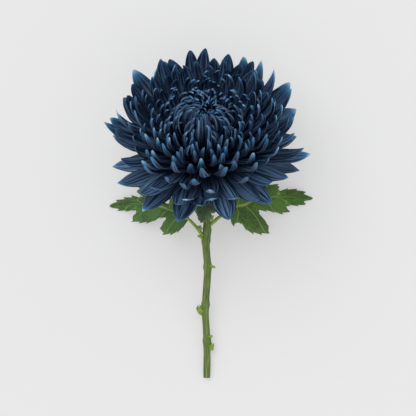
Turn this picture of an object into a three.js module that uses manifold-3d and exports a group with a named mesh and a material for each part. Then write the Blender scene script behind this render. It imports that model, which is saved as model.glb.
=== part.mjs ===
// A cut disbud chrysanthemum lying down: one large bloom on a leafy stem.
// Millimetres, +Z up. The stem runs along Y with its cut end at -Y; the bloom is at +Y.
// The surface it lies on is z = 0, and the centre of the footprint is x = y = 0.
import * as THREE from "three";
import { mergeVertices } from "three/addons/utils/BufferGeometryUtils.js";
import Module from "manifold-3d";

const wasm = await Module();
wasm.setup();

// Bloom
const bloomTilt = THREE.MathUtils.degToRad(42);
const receptacleHeight = 52;
const receptacleY = 45;
const floretThickness = 0.8;
const guardFloretWidth = 13;
const guardFloretsPerWhorl = 13;

// Profile of a floret by its place in the bloom, from the centre (first) to the rim (last).
// Each pair is the distance from the bloom's axis and the height along it.
const baseStations = [
  [0.8, 6.8], [3, 6.5], [5, 5.7], [6.5, 4.7], [7.6, 3.6], [8.4, 2.5], [9.1, 1.1], [9.6, -0.5], [9.8, -2.6],
];
const leanStations = [
  [1.4, 18], [7.5, 17], [14, 15.5], [20, 14], [25, 12.5], [28.5, 10.5], [33, 7.5], [37, 1.5], [36, -8],
];
const bowStations = [
  [2.2, 33], [10, 39.5], [20, 43], [30, 41.5], [37, 34], [45, 26.5], [54.5, 19], [60.5, 5], [57, -12],
];
const tipStations = [
  [1.2, 41], [3.5, 44.5], [8, 44.5], [16, 42.5], [28.5, 40.5], [42.5, 42], [56.5, 41], [66.5, 20], [65.2, -12.3],
];

// Joined whorls of inner florets: place in the bloom, how many, width.
const innerWhorls = [
  { place: 0.03, count: 5, width: 2.6 },
  { place: 0.14, count: 9, width: 4 },
  { place: 0.25, count: 13, width: 5 },
  { place: 0.36, count: 16, width: 6 },
  { place: 0.47, count: 18, width: 7 },
  { place: 0.58, count: 19, width: 8 },
  { place: 0.69, count: 18, width: 9.5 },
  { place: 0.79, count: 17, width: 11 },
];
const guardPlaces = [0.88, 0.945, 1];

// Stem
const stemRadius = 2.9;
const stemSides = 10;
const stemPath = [
  [0, 36.9, 43],
  [0, 32.3, 37.9],
  [0.6, 20, 32.6],
  [1.2, 5, 28.4],
  [1.4, -12, 23.6],
  [0.6, -20, 21.2],
  [1.8, -36, 16.8],
  [1.4, -48, 13.8],
  [0.2, -66, 9.7],
  [0.9, -80, 6.8],
  [1.4, -92, 4.6],
  [1.3, -114.6, 2.6],
];
const nodePlaces = [0.328, 0.377, 0.499, 0.671, 0.837];
const nodeSwelling = 0.55;

const petalDark = new THREE.Color("#1d2f50");
const petalMid = new THREE.Color("#2a4166");
const petalRim = new THREE.Color("#33517c");
const leafGreen = new THREE.Color("#4f7332");
const stemGreen = new THREE.Color("#6d8a48");

const flower = new THREE.Group();
const bloom = new THREE.Group();
bloom.position.set(0, receptacleY, receptacleHeight);
bloom.rotation.x = -bloomTilt;
flower.add(bloom);

function addMesh(parent, name, geometry, color, roughness) {
  const material = new THREE.MeshStandardMaterial({ color, roughness, metalness: 0 });
  const mesh = new THREE.Mesh(geometry, material);
  mesh.name = name;
  parent.add(mesh);
  return mesh;
}

function geometryOf(positions, faces) {
  const geometry = new THREE.BufferGeometry();
  geometry.setAttribute("position", new THREE.Float32BufferAttribute(positions.flat(), 3));
  geometry.setIndex(faces.flat());
  geometry.computeVertexNormals();
  return geometry;
}

function solidOf(geometry) {
  const bare = geometry.clone();
  bare.deleteAttribute("normal");
  bare.deleteAttribute("uv");
  const merged = mergeVertices(bare, 1e-4);
  return new wasm.Manifold(
    new wasm.Mesh({
      numProp: 3,
      vertProperties: merged.attributes.position.array,
      triVerts: new Uint32Array(merged.index.array),
    }),
  );
}

function meshGeometryOf(solid) {
  const result = solid.getMesh();
  const geometry = new THREE.BufferGeometry();
  geometry.setAttribute("position", new THREE.BufferAttribute(result.vertProperties, 3));
  geometry.setIndex(new THREE.BufferAttribute(result.triVerts, 1));
  geometry.computeVertexNormals();
  return geometry;
}

function joined(geometries) {
  const solids = geometries.map(solidOf);
  return meshGeometryOf(solids.reduce((sum, next) => sum.add(next)));
}

// Skins a list of rings that all have the same number of points, and closes both ends.
function loft(rings) {
  const size = rings[0].length;
  const positions = [];
  const faces = [];
  for (const ring of rings) for (const p of ring) positions.push([p.x, p.y, p.z]);
  for (let i = 0; i < rings.length - 1; i++) {
    for (let j = 0; j < size; j++) {
      const a = i * size + j;
      const b = i * size + ((j + 1) % size);
      faces.push([a, b, b + size], [a, b + size, a + size]);
    }
  }
  const last = (rings.length - 1) * size;
  if (size === 4) {
    faces.push([0, 2, 1], [0, 3, 2], [last, last + 1, last + 2], [last, last + 2, last + 3]);
    return geometryOf(positions, faces);
  }
  for (const start of [0, last]) {
    const middle = new THREE.Vector3();
    for (const p of rings[start / size]) middle.addScaledVector(p, 1 / size);
    const centre = positions.length;
    positions.push([middle.x, middle.y, middle.z]);
    for (let j = 0; j < size; j++) {
      const a = start + j;
      const b = start + ((j + 1) % size);
      faces.push(start === 0 ? [centre, b, a] : [centre, a, b]);
    }
  }
  return geometryOf(positions, faces);
}

// A point of a curve through evenly spaced stations, share running from 0 to 1.
function station(stations, share) {
  const points = stations.map(([r, z]) => new THREE.Vector3(r, z, 0));
  const curve = new THREE.CatmullRomCurve3(points, false, "catmullrom", 0.5);
  const p = curve.getPoint(share);
  return new THREE.Vector2(p.x, p.y);
}

function profileAt(place) {
  return new THREE.CubicBezierCurve(
    station(baseStations, place),
    station(leanStations, place),
    station(bowStations, place),
    station(tipStations, place),
  );
}

// Half the surface's width at a distance along a floret, as a share of its full width.
function floretWidth(along, width, baseWidth) {
  const spread = THREE.MathUtils.smoothstep(along, 0, 0.62);
  const full = THREE.MathUtils.lerp(baseWidth, width, spread);
  const rounding = along < 0.7 ? 1 : Math.sqrt(Math.max(0, 1 - ((along - 0.7) / 0.31) ** 2));
  return 0.5 * full * rounding;
}

// A floret is a strap that lies on the surface its profile makes round the axis.
// It sways a little to one side towards its tip.
function floret({ place, azimuth, width, baseWidth, sway, rows }) {
  const profile = profileAt(place);
  const rings = [];
  for (const along of rows) {
    const p = profile.getPoint(along);
    const tangent = profile.getTangent(along);
    const outward = new THREE.Vector2(tangent.y, -tangent.x);
    const half = floretWidth(along, width, baseWidth);
    const drift = (sway * along ** 2) / p.x;
    const turn = Math.min(half / Math.max(p.x, 1), 1.2);
    const thick = floretThickness * (along < 0.95 ? 1 : 0.6);
    const at = (angle, offset) => {
      const r = p.x + outward.x * offset;
      const z = p.y + outward.y * offset;
      const a = azimuth + drift + angle;
      return new THREE.Vector3(r * Math.sin(a), r * Math.cos(a), z);
    };
    rings.push([
      at(-turn, -thick / 2),
      at(turn, -thick / 2),
      at(turn, thick / 2),
      at(-turn, thick / 2),
    ]);
  }
  return loft(rings);
}

// A whorl of florets with box sections that rise from one closed ring at their feet.
// Each row holds four corners a floret: left inner, right inner, right outer, left outer.
function whorl({ place, count, width, turned }) {
  const profile = profileAt(place);
  const rows = [0, 0.07, 0.3, 0.56, 0.8, 1];
  const positions = [];
  const faces = [];
  const corner = (i, row, k) => (row * count + ((i + count) % count)) * 4 + k;
  const quad = (a, b, c, d) => faces.push([a, b, c], [a, c, d]);
  rows.forEach((along, row) => {
    const p = profile.getPoint(along);
    const tangent = profile.getTangent(along);
    const outward = new THREE.Vector2(tangent.y, -tangent.x);
    const foot = (0.82 * 2 * Math.PI * p.x) / count;
    const half = row < 2 ? foot / 2 : floretWidth(along, width, foot);
    const turn = Math.min(half / p.x, (0.94 * Math.PI) / count);
    for (let i = 0; i < count; i++) {
      const azimuth = ((i + turned) / count) * 2 * Math.PI;
      for (const [side, face] of [[-1, -1], [1, -1], [1, 1], [-1, 1]]) {
        const r = p.x + (outward.x * face * floretThickness) / 2;
        const z = p.y + (outward.y * face * floretThickness) / 2;
        const a = azimuth + side * turn;
        positions.push([r * Math.sin(a), r * Math.cos(a), z]);
      }
    }
  });
  for (let i = 0; i < count; i++) {
    const at = (row, k) => corner(i, row, k);
    const next = (row, k) => corner(i + 1, row, k);
    quad(at(0, 0), at(0, 3), at(0, 2), at(0, 1));
    quad(at(0, 1), at(0, 2), next(0, 3), next(0, 0));
    quad(at(0, 1), next(0, 0), next(1, 0), at(1, 1));
    quad(at(0, 2), at(1, 2), next(1, 3), next(0, 3));
    quad(at(1, 1), next(1, 0), next(1, 3), at(1, 2));
    quad(at(0, 0), at(0, 1), at(1, 1), at(1, 0));
    quad(at(0, 2), at(0, 3), at(1, 3), at(1, 2));
    for (let row = 1; row < rows.length - 1; row++) {
      for (let k = 0; k < 4; k++) {
        quad(at(row, k), at(row, (k + 1) % 4), at(row + 1, (k + 1) % 4), at(row + 1, k));
      }
    }
    const last = rows.length - 1;
    quad(at(last, 0), at(last, 1), at(last, 2), at(last, 3));
  }
  return geometryOf(positions, faces);
}

// Bloom: the receptacle with its green bracts.
function receptacle() {
  const profile = [
    [0, -11.5], [3.2, -11.5], [5.6, -8.6], [8.6, -5.6], [9.4, -3.6],
    [8.9, -1.2], [8, 1.2], [6.4, 3.2], [4.4, 4.6], [2.2, 5.3], [0, 5.6],
  ].map(([r, z]) => new THREE.Vector2(r, z));
  const bracts = [];
  for (let i = 0; i < 12; i++) {
    const azimuth = (i / 12) * 2 * Math.PI;
    const rings = [];
    for (const [r, z, half] of [[6.4, -5.6, 1.3], [10.5, -5.4, 1.9], [14, -6, 1.4], [17, -7, 0.2]]) {
      const at = (side, lift) => {
        const p = new THREE.Vector3(side * half, r, z + lift);
        return p.applyAxisAngle(new THREE.Vector3(0, 0, 1), -azimuth);
      };
      rings.push([at(-1, 0), at(0, 0.3), at(1, 0), at(0, -0.5)]);
    }
    bracts.push(loft(rings));
  }
  const cup = new THREE.LatheGeometry(profile, 24).rotateX(Math.PI / 2);
  return joined([cup, ...bracts]);
}

addMesh(bloom, "receptacle", receptacle(), stemGreen, 0.7);

innerWhorls.forEach(({ place, count, width }, index) => {
  const geometry = whorl({ place, count, width, turned: 0.5 * (index % 2) });
  const color = petalDark.clone().lerp(petalMid, index / innerWhorls.length);
  addMesh(bloom, `floret_whorl_${index + 1}`, geometry, color, 0.55);
});

guardPlaces.forEach((place, whorl) => {
  for (let i = 0; i < guardFloretsPerWhorl; i++) {
    const azimuth = ((i + whorl / 3 - 1 / 6) / guardFloretsPerWhorl) * 2 * Math.PI;
    const rows = [0, 0.24, 0.48, 0.7, 0.88, 1];
    const geometry = floret({
      place,
      azimuth,
      width: guardFloretWidth,
      baseWidth: 3.6,
      sway: 1.3 * Math.sin(2.4 * i + 1.7 * whorl),
      rows,
    });
    const name = `guard_floret_${"abc"[whorl]}${i + 1}`;
    addMesh(bloom, name, geometry, petalRim, 0.55);
  }
});

// Stem: a ribbed tube that swells at each leaf node.
const stemCurve = new THREE.CatmullRomCurve3(
  stemPath.map(([x, y, z]) => new THREE.Vector3(x, y, z)),
);

function ringAround(curve, share, radiusAt, sides) {
  const centre = curve.getPointAt(share);
  const tangent = curve.getTangentAt(share);
  const side = new THREE.Vector3(1, 0, 0).cross(tangent).normalize();
  const across = tangent.clone().cross(side).normalize();
  const ring = [];
  for (let j = 0; j < sides; j++) {
    const a = (j / sides) * 2 * Math.PI;
    const r = radiusAt(j);
    ring.push(
      centre
        .clone()
        .addScaledVector(side, r * Math.cos(a))
        .addScaledVector(across, r * Math.sin(a)),
    );
  }
  return ring;
}

function stem() {
  const rings = [];
  const steps = 28;
  for (let i = 0; i <= steps; i++) {
    const share = i / steps;
    const nearest = Math.min(...nodePlaces.map((place) => Math.abs(place - share)));
    const swelling = nodeSwelling * Math.exp(-((nearest / 0.02) ** 2));
    const radius = stemRadius * (1 - 0.12 * share) + swelling;
    rings.push(ringAround(stemCurve, share, (j) => radius * (j % 2 ? 0.94 : 1.03), stemSides));
  }
  return loft(rings);
}

addMesh(flower, "stem", stem(), stemGreen, 0.6);

// Leaves, in millimetres from the point on the ground below the receptacle.
// Each row is the midrib's x, y, then the margin nearer the stem's foot, then the margin nearer the bloom.
const leftLeafRows = [
  [-11.5, -48, -12.3, -49.6, -11.2, -46.4],
  [-14, -47, -16.6, -55, -12.5, -42],
  [-15.5, -46.4, -22, -58.2, -14.5, -37],
  [-17.2, -45.6, -29, -58.4, -19, -33.5],
  [-19.5, -44.4, -31, -53.6, -24.5, -33],
  [-22.5, -42.8, -27.8, -47.6, -26, -37],
  [-25.5, -41.4, -32, -47.4, -30, -35],
  [-28, -40.2, -37, -50, -34, -28.5],
  [-30.5, -39.4, -43, -50.6, -40, -25.5],
  [-33, -38.8, -48.5, -50, -46, -26],
  [-35.5, -38.3, -51.6, -48.3, -48, -28.8],
  [-39, -37.8, -48.6, -42.2, -43.5, -32.4],
  [-45, -37.4, -54, -42.4, -50, -31.8],
  [-51, -37.2, -60, -42, -56, -33],
  [-57, -37.4, -63, -40.6, -61, -34.6],
  [-62, -38, -65.2, -40, -64.6, -36.6],
  [-67, -39, -67.4, -39.4, -67.4, -38.8],
];
const rightLeafRows = [
  [18.5, -41, 17.4, -42.6, 17.6, -39.6],
  [20, -40.2, 17.8, -49.4, 18, -34],
  [21.4, -39.6, 20.2, -52.2, 20.5, -29],
  [23, -39, 24.5, -50.6, 24.5, -26.2],
  [25, -38.4, 30.3, -56.6, 28.5, -26.6],
  [26.7, -37.8, 38.4, -58.4, 31, -28.6],
  [28.3, -37.2, 44.8, -57.2, 32, -30.8],
  [30, -36.6, 43.4, -50.6, 33.6, -30.2],
  [33, -35.6, 37.6, -43.2, 36.6, -25.6],
  [35.5, -34.8, 43.5, -42.4, 40.5, -23],
  [38, -34, 49, -43.4, 44.5, -23.2],
  [40.5, -33.4, 54, -44.2, 49, -23.4],
  [43, -33, 59, -42.4, 52.8, -24.8],
  [46.5, -32.7, 57.6, -39, 51.4, -27.6],
  [53, -32.5, 63, -38.6, 60, -26.6],
  [60, -32.4, 69.2, -38, 68, -28],
  [66, -32.6, 71, -35.6, 71, -30.4],
  [71, -33, 73.6, -34.6, 73.6, -32],
  [75.6, -33.4, 76, -33.8, 76, -33],
];
const upperLeafRows = [
  [0.5, -29, 1.7, -29, -0.8, -29],
  [0.5, -32, 3.6, -32.5, -2.6, -32.5],
  [0.4, -35, 6, -38, -5, -38],
  [0.2, -37.5, 7.6, -42.6, -7, -42.8],
  [-0.2, -40.5, 4.4, -44.6, -5.6, -44.8],
  [-0.8, -44, 3.8, -47.2, -5.2, -47.4],
  [-1.8, -47.6, 0.4, -49.4, -3.8, -49.2],
  [-2.8, -50.4, -2.5, -50.7, -3.1, -50.7],
];

// A leaf is one loft: the round petiole first, then a blade that folds a little along its midrib.
function leaf({ rows, heightAt, thickness, petiole, petioleRadius }) {
  const blade = rows.map(([mx, my, lx, ly, ux, uy]) => {
    const point = (x, y, lift) => new THREE.Vector3(x, y, heightAt(x, y) + lift);
    const lower = [(lx + mx) / 2, (ly + my) / 2];
    const upper = [(ux + mx) / 2, (uy + my) / 2];
    return [
      point(lx, ly, 0),
      point(...lower, 0.6 + thickness / 2),
      point(mx, my, thickness / 2),
      point(...upper, 0.6 + thickness / 2),
      point(ux, uy, 0),
      point(...upper, 0.6 - thickness / 2),
      point(mx, my, -thickness),
      point(...lower, 0.6 - thickness / 2),
    ];
  });
  const foot = new THREE.Vector3(...rows[0].slice(0, 2), heightAt(...rows[0]));
  const path = [...petiole.map((p) => new THREE.Vector3(...p)), foot];
  const curve = new THREE.CatmullRomCurve3(path);
  const across = blade[0][4].clone().sub(blade[0][0]).normalize();
  const stalk = [0, 0.25, 0.5, 0.75, 0.94].map((share) => {
    const centre = curve.getPointAt(share);
    const tangent = curve.getTangentAt(share);
    const side = across.clone().addScaledVector(tangent, -across.dot(tangent)).normalize();
    const up = side.clone().cross(tangent).normalize();
    if (up.z < 0) up.negate();
    return blade[0].map((unused, j) => {
      const angle = Math.PI - (j / 8) * 2 * Math.PI;
      return centre
        .clone()
        .addScaledVector(side, petioleRadius * Math.cos(angle))
        .addScaledVector(up, petioleRadius * Math.sin(angle));
    });
  });
  const rings = [...stalk, ...blade];
  if (solidOf(loft(rings)).volume() < 0) for (const ring of rings) ring.reverse();
  return loft(rings);
}

// Height of a blade that starts high and droops sideways until its tip rests on the surface.
function droop(startX, endX, high, low) {
  return (x) => {
    const share = THREE.MathUtils.clamp((x - startX) / (endX - startX), -0.1, 1);
    return low + (high - low) * (1 - share) ** 1.4;
  };
}

const leaves = new THREE.Group();
leaves.position.y = receptacleY;
flower.add(leaves);

addMesh(
  leaves,
  "leaf_left",
  leaf({
    rows: leftLeafRows,
    heightAt: droop(-11.5, -66, 25.5, 0.75),
    thickness: 0.8,
    petiole: [[-3, -57.6, 24], [-5.5, -54.3, 25], [-8.6, -50.8, 25.8]],
    petioleRadius: 1.15,
  }),
  leafGreen,
  0.6,
);
addMesh(
  leaves,
  "leaf_right",
  leaf({
    rows: rightLeafRows,
    heightAt: droop(18.5, 75, 28, 0.75),
    thickness: 0.8,
    petiole: [[5.2, -50.6, 25.8], [9.5, -47, 27.5], [14, -43.8, 28.6]],
    petioleRadius: 1.15,
  }),
  leafGreen,
  0.6,
);
addMesh(
  leaves,
  "leaf_upper",
  leaf({
    rows: upperLeafRows,
    heightAt: (x, y) => 49 - 0.036 * (y + 47.5) ** 2,
    thickness: 0.8,
    petiole: [[0.5, -23.4, 37.8], [0.5, -26, 36.9]],
    petioleRadius: 0.9,
  }),
  leafGreen,
  0.65,
);

// Axillary buds: an egg with its narrow end pointing away from the stem's foot.
const buds = [
  { name: "bud_left_axil", at: [-4.4, -53.6, 28.9], length: 3.6, radius: 1.1, lean: 20 },
  { name: "bud_right_axil", at: [5.4, -46.6, 30.4], length: 3.8, radius: 1.2, lean: -15 },
  { name: "bud_lower_left", at: [-5.5, -111.4, 9.4], length: 6.4, radius: 1.7, lean: 24 },
  { name: "bud_foot_right", at: [6.5, -137, 5.2], length: 4.2, radius: 1.3, lean: -20 },
];
for (const { name, at, length, radius, lean } of buds) {
  const egg = new THREE.SphereGeometry(1, 10, 6);
  egg.scale(radius, length / 2, radius);
  const bud = addMesh(leaves, name, meshGeometryOf(solidOf(egg)), stemGreen, 0.6);
  bud.position.set(...at);
  bud.rotation.z = THREE.MathUtils.degToRad(lean);
}

// The origin is the middle of the footprint, on the surface.
const extent = new THREE.Box3().setFromObject(flower);
const middle = extent.getCenter(new THREE.Vector3());
flower.position.set(-middle.x, -middle.y, -extent.min.z);

export default flower;
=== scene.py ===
import math
import random

import bmesh
import bpy
import numpy as np
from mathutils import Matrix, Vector


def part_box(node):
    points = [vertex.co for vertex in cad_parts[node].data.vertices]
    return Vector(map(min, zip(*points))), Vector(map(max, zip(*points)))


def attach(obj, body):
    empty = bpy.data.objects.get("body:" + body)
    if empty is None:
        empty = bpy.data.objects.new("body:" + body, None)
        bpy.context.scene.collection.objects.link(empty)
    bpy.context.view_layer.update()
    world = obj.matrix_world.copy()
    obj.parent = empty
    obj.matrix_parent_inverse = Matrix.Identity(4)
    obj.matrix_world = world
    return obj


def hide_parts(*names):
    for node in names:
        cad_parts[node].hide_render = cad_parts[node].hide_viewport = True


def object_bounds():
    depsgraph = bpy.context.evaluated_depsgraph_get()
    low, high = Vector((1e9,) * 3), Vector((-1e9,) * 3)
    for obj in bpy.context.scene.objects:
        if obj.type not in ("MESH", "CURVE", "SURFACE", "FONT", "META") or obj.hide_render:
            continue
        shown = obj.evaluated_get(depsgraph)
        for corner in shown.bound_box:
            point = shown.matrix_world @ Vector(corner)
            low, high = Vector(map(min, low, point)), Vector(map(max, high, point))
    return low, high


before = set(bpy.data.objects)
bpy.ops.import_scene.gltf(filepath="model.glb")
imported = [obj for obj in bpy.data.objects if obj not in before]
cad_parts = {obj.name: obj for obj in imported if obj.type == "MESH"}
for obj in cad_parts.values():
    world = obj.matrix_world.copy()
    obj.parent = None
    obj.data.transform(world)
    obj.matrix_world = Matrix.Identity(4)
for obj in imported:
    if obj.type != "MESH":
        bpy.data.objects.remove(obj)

scene = bpy.context.scene
cadLow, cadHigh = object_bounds()
mm = 0.001
goldenAngle = math.pi * (3 - math.sqrt(5))

# where the bloom sits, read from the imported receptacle
receptacleLow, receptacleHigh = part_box("receptacle")
centreInset = {"back": 8.15 * mm, "up": 16.95 * mm}      # of the bloom's centre in the receptacle's box
bloomCentre = Vector((
    (receptacleLow.x + receptacleHigh.x) / 2,
    receptacleHigh.y - centreInset["back"],
    receptacleLow.z + centreInset["up"],
))
bloomTilt = math.radians(42)


# camera

cameraSettings = {
    "lens": 400,
    "aim": (2.1 * mm, -40.2 * mm),      # from the bloom's centre
    "frameWidth": 288.3 * mm,           # at the height of the receptacle
}

cameraData = bpy.data.cameras.new("camera")
cameraData.lens = cameraSettings["lens"]
cameraData.sensor_width = 36
cameraData.clip_end = 20
camera = bpy.data.objects.new("camera", cameraData)
camera.location = (
    bloomCentre.x + cameraSettings["aim"][0],
    bloomCentre.y + cameraSettings["aim"][1],
    bloomCentre.z + cameraSettings["frameWidth"] * cameraData.lens / cameraData.sensor_width,
)
scene.collection.objects.link(camera)
scene.camera = camera
print("camera placed")


# node trees written as expressions

# one arithmetic method of the class below
def operator(operation, reflected=False):
    def apply(self, other=0):
        first, second = (other, self) if reflected else (self, other)
        return self.graph.math(operation, first, second)
    return apply


# a socket that takes part in expressions: each operator adds its Math node
class Value:
    def __init__(self, graph, socket):
        self.graph = graph
        self.socket = socket

    __add__ = operator("ADD")
    __radd__ = operator("ADD", reflected=True)
    __sub__ = operator("SUBTRACT")
    __rsub__ = operator("SUBTRACT", reflected=True)
    __mul__ = operator("MULTIPLY")
    __rmul__ = operator("MULTIPLY", reflected=True)
    __truediv__ = operator("DIVIDE")
    __rtruediv__ = operator("DIVIDE", reflected=True)
    __pow__ = operator("POWER")
    __rpow__ = operator("POWER", reflected=True)
    __abs__ = operator("ABSOLUTE")

    def __neg__(self):
        return self * -1


class Graph:
    def __init__(self, tree):
        self.tree = tree

    def fill(self, socket, value):
        if isinstance(value, Value):
            self.tree.links.new(value.socket, socket)
        else:
            socket.default_value = value

    def add(self, kind, settings=None, inputs=None, output=0):
        node = self.tree.nodes.new(kind)
        for name, value in (settings or {}).items():
            setattr(node, name, value)
        for key, value in (inputs or {}).items():
            self.fill(node.inputs[key], value)
        return Value(self, node.outputs[output])

    def math(self, operation, first, second=0, third=0):
        inputs = {0: first, 1: second, 2: third}
        return self.add("ShaderNodeMath", {"operation": operation}, inputs)

    def sin(self, angle):
        return self.math("SINE", angle)

    def cos(self, angle):
        return self.math("COSINE", angle)

    def sqrt(self, value):
        return self.math("SQRT", value)

    def sign(self, value):
        return self.math("SIGN", value)

    def least(self, first, second):
        return self.math("MINIMUM", first, second)

    def most(self, first, second):
        return self.math("MAXIMUM", first, second)

    def clamp(self, value, low=0.0, high=1.0):
        return self.least(self.most(value, low), high)

    # 0 below start, 1 above end, smooth between them
    def ramp(self, value, start, end):
        settings = {"interpolation_type": "SMOOTHSTEP"}
        return self.add("ShaderNodeMapRange", settings, {0: value, 1: start, 2: end, 3: 0.0, 4: 1.0})

    def blend(self, share, first, second):
        return first + share * (second - first)

    def vector(self, operation, first, second=(0, 0, 0)):
        return self.add("ShaderNodeVectorMath", {"operation": operation}, {0: first, 1: second})

    def scaled(self, vector, size):
        return self.add("ShaderNodeVectorMath", {"operation": "SCALE"}, {0: vector, 3: size})

    def xyz(self, x, y=0.0, z=0.0):
        return self.add("ShaderNodeCombineXYZ", {}, {0: x, 1: y, 2: z})

    def part(self, vector, axis):
        return self.add("ShaderNodeSeparateXYZ", {}, {0: vector}, output="XYZ".index(axis))

    def mixColor(self, share, first, second):
        settings = {"data_type": "RGBA", "blend_type": "MIX", "clamp_factor": True}
        return self.add("ShaderNodeMix", settings, {0: share, 6: first, 7: second}, output=2)

    # a smooth curve through evenly spaced values, read at share 0 to 1
    def stations(self, share, values, low, high):
        curve = self.tree.nodes.new("ShaderNodeFloatCurve")
        points = curve.mapping.curves[0].points
        while len(points) < len(values):
            points.new(0.5, 0.5)
        for index, value in enumerate(values):
            points[index].location = (index / (len(values) - 1), (value - low) / (high - low))
        curve.mapping.update()
        self.fill(curve.inputs["Value"], share)
        return Value(self, curve.outputs[0]) * (high - low) + low


def rgb(code):
    # sRGB hex to linear colour
    parts = [int(code[i:i + 2], 16) / 255 for i in (1, 3, 5)]
    linear = [p / 12.92 if p <= 0.04045 else ((p + 0.055) / 1.055) ** 2.4 for p in parts]
    return (*linear, 1)


# materials

def newMaterial(name):
    material = bpy.data.materials.new(name)
    material.use_nodes = True
    graph = Graph(material.node_tree)
    shader = material.node_tree.nodes["Principled BSDF"]
    return material, graph, shader


def attribute(graph, name):
    return graph.add("ShaderNodeAttribute", {"attribute_name": name}, output=2)


def noiseAt(graph, vector, scale, detail=3.0, roughness=0.5):
    inputs = {"Vector": vector, "Scale": scale, "Detail": detail, "Roughness": roughness}
    return graph.add("ShaderNodeTexNoise", {"noise_dimensions": "3D"}, inputs)


# colours of the florets; the darkest navy serves their dark streaks and also the painted shade at floret
# bases and at the bloom's centre
floretLook = {
    "darkAndPaintedShade": "#0b182e",
    "body": "#172d50",
    "line": "#6b90b8",
    "back": "#2a4b76",
    "backLine": "#7a9dbf",
    "tip": "#4b8fc2",
    "edge": "#b4dbea",
}


def floretMaterial():
    look = floretLook
    material, g, shader = newMaterial("floret")
    along = attribute(g, "along")
    spread = attribute(g, "spread")
    across = attribute(g, "across")
    face = attribute(g, "face")
    shade = attribute(g, "shade")
    pale = attribute(g, "pale")
    place = attribute(g, "place")
    rim = g.ramp(place, 0.7, 0.95)
    # streaks run lengthwise: noise squeezed across the floret, in millimetres of its width
    broadAt = g.xyz(spread * 0.75 + shade * 61, along * 1.1, shade * 17)
    streaks = noiseAt(g, broadAt, 1.0, 2.0, 0.6)
    fine = noiseAt(g, g.xyz(spread * 2.3 + shade * 23, along * 2.0, shade * 9), 1.0, 3.0, 0.65)
    cloud = noiseAt(g, g.xyz(spread * 0.2 + shade * 31, along * 2.6, shade * 5), 1.0, 3.0, 0.5)
    outside = g.ramp(face, -0.2, 0.2)
    broadLines = g.ramp(streaks, 0.51 - 0.07 * rim, 0.62 - 0.04 * rim)
    fineLines = g.ramp(fine, 0.55 - 0.05 * rim, 0.68)
    lines = g.clamp(broadLines * 0.85 + fineLines * 0.5)
    # painted shade: each floret darkens towards its base, far down in the bloom, and its lines and paler
    # outer colour fade there too
    depth = g.ramp(along, 0.05, 0.65)
    body = g.mixColor(depth, rgb(look["darkAndPaintedShade"]), rgb(look["body"]))
    body = g.mixColor(g.ramp(streaks, 0.5, 0.36) * 0.7, body, rgb(look["darkAndPaintedShade"]))
    inner = g.mixColor(lines * (0.6 + 0.4 * rim) * (0.35 + 0.65 * depth), body, rgb(look["line"]))
    backShare = (0.04 + 0.26 * g.ramp(cloud, 0.32, 0.68)) * depth + 0.5 * g.ramp(along, 0.82, 1.0)
    outer = g.mixColor(backShare, body, rgb(look["back"]))
    outer = g.mixColor(lines * 0.75 * depth, outer, rgb(look["backLine"]))
    skin = g.mixColor(outside, inner, outer)
    # some florets darker at random in tone, and the florets at the bloom's centre darker as painted shade
    skin = g.mixColor(g.clamp((1 - shade) * 0.5 + g.ramp(place, 0.16, 0.02) * 0.6), skin, rgb(look["darkAndPaintedShade"]))
    tipAt = along + 0.09 * (fine - 0.5) + 0.05 * (streaks - 0.5)
    tipShare = g.ramp(tipAt, 0.87 - 0.09 * pale, 1.0 - 0.03 * pale) * (0.36 + 0.58 * pale)
    skin = g.mixColor(tipShare, skin, rgb(look["tip"]))
    margins = 0.6 * g.ramp(abs(across), 0.88, 1.0) * g.ramp(along, 0.62, 0.95)
    edgeShare = g.ramp(tipAt, 0.9, 1.0) * g.ramp(pale, 0.3, 0.9) + margins
    skin = g.mixColor(g.clamp(edgeShare * (0.1 + 0.9 * pale)), skin, rgb(look["edge"]))
    g.fill(shader.inputs["Base Color"], skin)
    g.fill(shader.inputs["Roughness"], 0.42 + 0.25 * streaks)
    shader.inputs["Specular IOR Level"].default_value = 0.3
    height = streaks * 0.9 + fine * 0.5
    g.fill(shader.inputs["Normal"], g.add("ShaderNodeBump", {}, {
        "Strength": 0.6, "Distance": 0.0004, "Height": height,
    }))
    return material


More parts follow.
